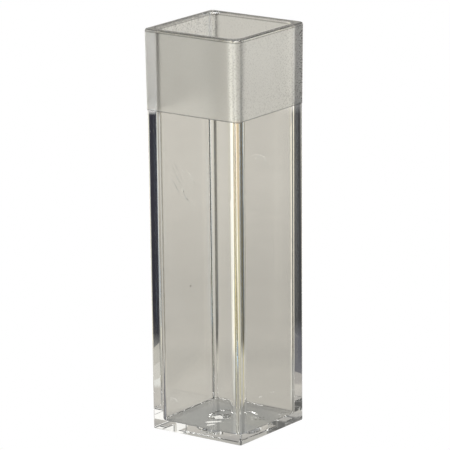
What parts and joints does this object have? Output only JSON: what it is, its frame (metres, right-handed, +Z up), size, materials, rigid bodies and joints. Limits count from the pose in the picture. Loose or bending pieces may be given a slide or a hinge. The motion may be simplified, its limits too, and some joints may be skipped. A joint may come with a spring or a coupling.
{
  "type": "cuvette",
  "caption": "Square clear-plastic laboratory cuvette with a frosted collar, an open well with rounded corners and a solid base.",
  "frame": {"origin": "middle of the underside, on the surface that the cuvette stands on", "axes": "+Z up along the cuvette, out of the mouth; +X and +Y normal to two neighbouring windows"},
  "size_m": [0.0126, 0.0126, 0.045],
  "materials": {
    "clear_plastic": "clear moulded plastic, polished windows, fine matt collar"
  },
  "bodies": {
    "root": {"cuvette": "clear_plastic"}
  },
  "joints": []
}
